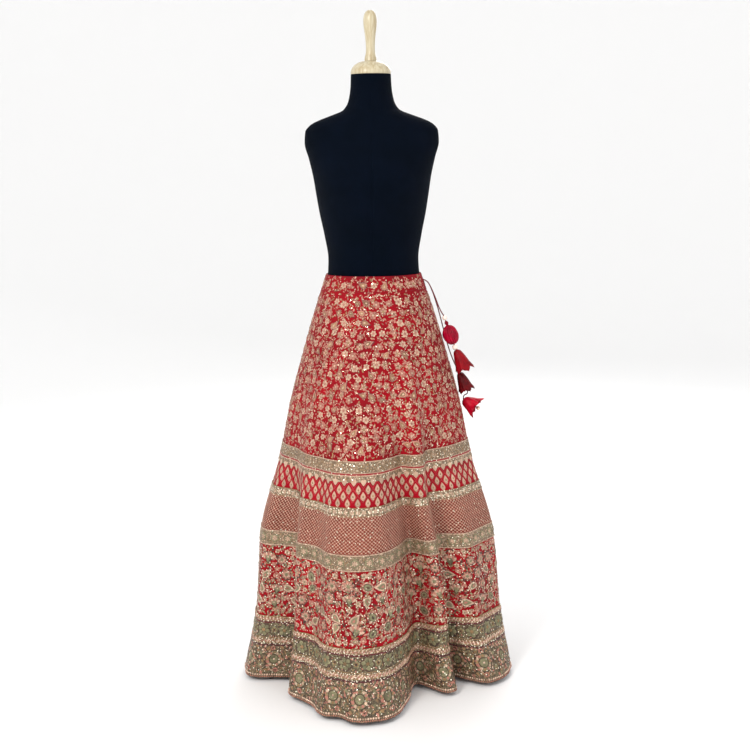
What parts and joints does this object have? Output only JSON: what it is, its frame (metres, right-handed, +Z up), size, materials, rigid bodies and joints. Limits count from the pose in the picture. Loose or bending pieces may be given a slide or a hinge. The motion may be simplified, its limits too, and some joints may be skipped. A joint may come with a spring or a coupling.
{
  "type": "lehenga skirt on dress form",
  "caption": "Floor-length flared lehenga skirt with gold zari bands, deep hem border and tasselled drawstring, on a limbless dress form.",
  "frame": {"origin": "on the floor under the stand's pole, the centre of the base's underside", "axes": "+Z up, the wearer faces -Y, the wearer's left side with the drawstring is +X"},
  "size_m": [0.7354, 0.7295, 1.772],
  "materials": {
    "red_zari_silk": "red raw silk under dense cream, rose and gold zari embroidery with sequins",
    "gold_zari": "antique gold zari and bead work, softly glittering",
    "maroon_silk": "maroon satin-faced silk",
    "pearl": "pearl lustre",
    "gilt": "polished gilt bead",
    "navy_cotton": "matt navy-black cotton jersey",
    "pale_wood": "pale turned wood, clear satin",
    "dark_steel": "satin black"
  },
  "bodies": {
    "root": {"panel_01": "red_zari_silk", "panel_02": "red_zari_silk", "panel_03": "red_zari_silk", "panel_04": "red_zari_silk", "panel_05": "red_zari_silk", "panel_06": "red_zari_silk", "panel_07": "red_zari_silk", "panel_08": "red_zari_silk", "panel_09": "red_zari_silk", "panel_10": "red_zari_silk", "waistband_front": "red_zari_silk", "waistband_back": "red_zari_silk", "zari_band_upper_front": "gold_zari", "zari_band_upper_back": "gold_zari", "zari_band_middle_front": "gold_zari", "zari_band_middle_back": "gold_zari", "zari_band_lower_front": "gold_zari", "zari_band_lower_back": "gold_zari", "hem_border_front": "gold_zari", "hem_border_back": "gold_zari", "cord_front": "maroon_silk", "cord_rear": "maroon_silk", "cord_tail": "maroon_silk", "pearl_upper": "pearl", "pearl_lower": "pearl", "pompom": "maroon_silk", "petal_bell_upper": "maroon_silk", "petal_bell_lower": "maroon_silk", "petal_flower": "maroon_silk", "flower_bead": "gilt", "form_torso": "navy_cotton", "form_neck_cap": "pale_wood", "form_finial": "pale_wood", "form_pole": "dark_steel", "form_base": "dark_steel"}
  },
  "joints": []
}
